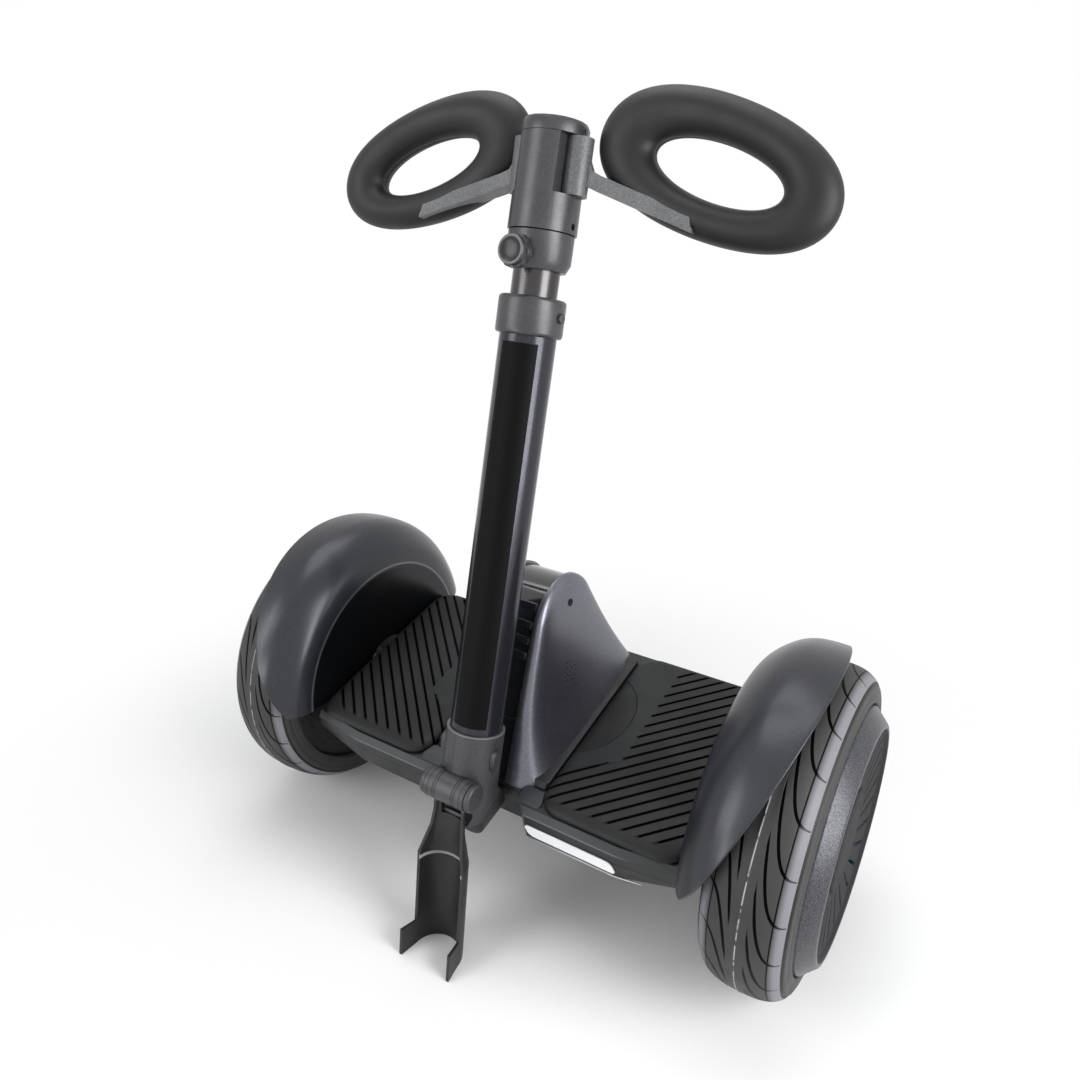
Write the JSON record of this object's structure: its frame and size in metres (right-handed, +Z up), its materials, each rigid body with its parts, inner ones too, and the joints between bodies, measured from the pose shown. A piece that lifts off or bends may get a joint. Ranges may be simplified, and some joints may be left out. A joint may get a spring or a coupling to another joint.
{
  "type": "self balancing personal transporter",
  "caption": "Self-balancing ride-on with hub motor wheels, a foot deck, a telescopic stem with folding hand rings and a fold-down kickstand.",
  "frame": {"origin": "on the floor, under the middle of the machine's outline, parked on its kickstand", "axes": "+Z up, -Y towards the front, the way the kickstand points, +X to the right as seen from in front"},
  "size_m": [0.56, 0.3112, 0.646],
  "materials": {
    "tyre_rubber": "matte",
    "motor_black": "satin",
    "hub_grey": "satin",
    "lamp_cyan": "gloss",
    "steel": "satin",
    "winding": "satin",
    "fender_blue": "gloss",
    "hump_blue": "satin",
    "shell_black": "satin",
    "cast_grey": "satin",
    "frame_alloy": "satin",
    "mat_rubber": "matte",
    "battery_wrap": "gloss",
    "board_green": "satin",
    "badge_white": "gloss",
    "gloss_black": "gloss",
    "lamp_red": "gloss",
    "tube_dark": "satin",
    "tube_polished": "polished",
    "head_grey": "satin",
    "knob_black": "satin",
    "ring_soft": "matte"
  },
  "bodies": {
    "chassis": {"chassis_frame": "frame_alloy", "deck_lower_shell": "shell_black", "deck_upper_shell": "shell_black", "foot_mat_left": "mat_rubber", "foot_mat_right": "mat_rubber", "battery_pack": "battery_wrap", "control_board": "board_green", "badge_plate": "badge_white", "charge_port": "gloss_black", "tail_lamp_left": "lamp_red", "tail_lamp_right": "lamp_red", "deck_foot_left": "mat_rubber", "deck_foot_right": "mat_rubber", "hump_shell_left": "hump_blue", "hump_shell_right": "hump_blue", "hump_band": "gloss_black", "pivot_bearing": "steel", "centring_block": "mat_rubber", "fender_left": "fender_blue", "fender_right": "fender_blue", "axle_left": "steel", "axle_right": "steel", "motor_stator_left": "winding", "motor_stator_right": "winding"},
    "stem": {"steering_shaft": "steel", "stem_socket": "cast_grey", "kickstand_pin": "cast_grey", "outer_tube": "tube_dark", "tube_collar": "head_grey", "collar_screw": "steel"},
    "mast": {"inner_tube": "tube_polished", "height_clamp": "head_grey", "head_housing": "head_grey", "head_cap": "head_grey", "arm_pin_left": "steel", "arm_pin_right": "steel"},
    "knob": {"clamp_knob": "knob_black"},
    "arm_left": {"ring_arm_left": "head_grey", "hand_ring_left": "ring_soft"},
    "arm_right": {"ring_arm_right": "head_grey", "hand_ring_right": "ring_soft"},
    "kickstand": {"kickstand": "cast_grey"},
    "release_left": {"release_button_left": "cast_grey"},
    "release_right": {"release_button_right": "cast_grey"},
    "power_button": {"power_button": "gloss_black"},
    "port_cap": {"charge_port_cap": "mat_rubber"},
    "wheel_left": {"tyre_left": "tyre_rubber", "motor_rim_left": "motor_black", "hub_cover_left": "hub_grey", "hub_light_ring_left": "lamp_cyan", "hub_boss_left": "hub_grey", "motor_side_cover_left": "motor_black", "wheel_bearing_left": "steel"},
    "wheel_right": {"tyre_right": "tyre_rubber", "motor_rim_right": "motor_black", "hub_cover_right": "hub_grey", "hub_light_ring_right": "lamp_cyan", "hub_boss_right": "hub_grey", "motor_side_cover_right": "motor_black", "wheel_bearing_right": "steel"}
  },
  "joints": [
    {"name": "wheel_left_spin", "type": "hinge", "parent": "chassis", "child": "wheel_left", "pos_m": [-0.235, 0.02464, 0.131], "axis": [1, 0, 0], "continuous": true},
    {"name": "wheel_right_spin", "type": "hinge", "parent": "chassis", "child": "wheel_right", "pos_m": [0.235, 0.02464, 0.131], "axis": [1, 0, 0], "continuous": true},
    {"name": "steering_lean", "type": "hinge", "parent": "chassis", "child": "stem", "pos_m": [0, 0.02464, 0.131], "axis": [0, -0.9806, -0.1961], "range_deg": [-12, 12], "stiffness_Nm_per_rad": 45},
    {"name": "mast_height", "type": "slide", "parent": "stem", "child": "mast", "axis": [0, 0.2536, 0.9673], "range_m": [-0.018, 0.17]},
    {"name": "clamp_knob_turn", "type": "hinge", "parent": "mast", "child": "knob", "pos_m": [0, -0.0112, 0.54493], "axis": [0, -0.9673, 0.2536], "range_deg": [0, 720]},
    {"name": "arm_left_fold", "type": "hinge", "parent": "mast", "child": "arm_left", "pos_m": [-0.0215, 0.02847, 0.57795], "axis": [0, 0.2536, 0.9673], "range_deg": [0, 90]},
    {"name": "arm_right_fold", "type": "hinge", "parent": "mast", "child": "arm_right", "pos_m": [0.0215, 0.02847, 0.57795], "axis": [0, -0.2536, -0.9673], "range_deg": [0, 90]},
    {"name": "kickstand_fold", "type": "hinge", "parent": "stem", "child": "kickstand", "pos_m": [0, -0.10834, 0.15068], "axis": [-1, 0, 0], "range_deg": [0, 185]},
    {"name": "release_left_press", "type": "slide", "parent": "stem", "child": "release_left", "axis": [1, 0, 0], "range_m": [0, 0.003], "stiffness_N_per_m": 300},
    {"name": "release_right_press", "type": "slide", "parent": "stem", "child": "release_right", "axis": [-1, 0, 0], "range_m": [0, 0.003], "stiffness_N_per_m": 300},
    {"name": "power_button_press", "type": "slide", "parent": "chassis", "child": "power_button", "axis": [0, -0.9806, -0.1961], "range_m": [0, 0.0012], "stiffness_N_per_m": 300},
    {"name": "port_cap_flip", "type": "hinge", "parent": "chassis", "child": "port_cap", "pos_m": [0.06, 0.12568, 0.15778], "axis": [1, 0, 0], "range_deg": [0, 85]}
  ]
}
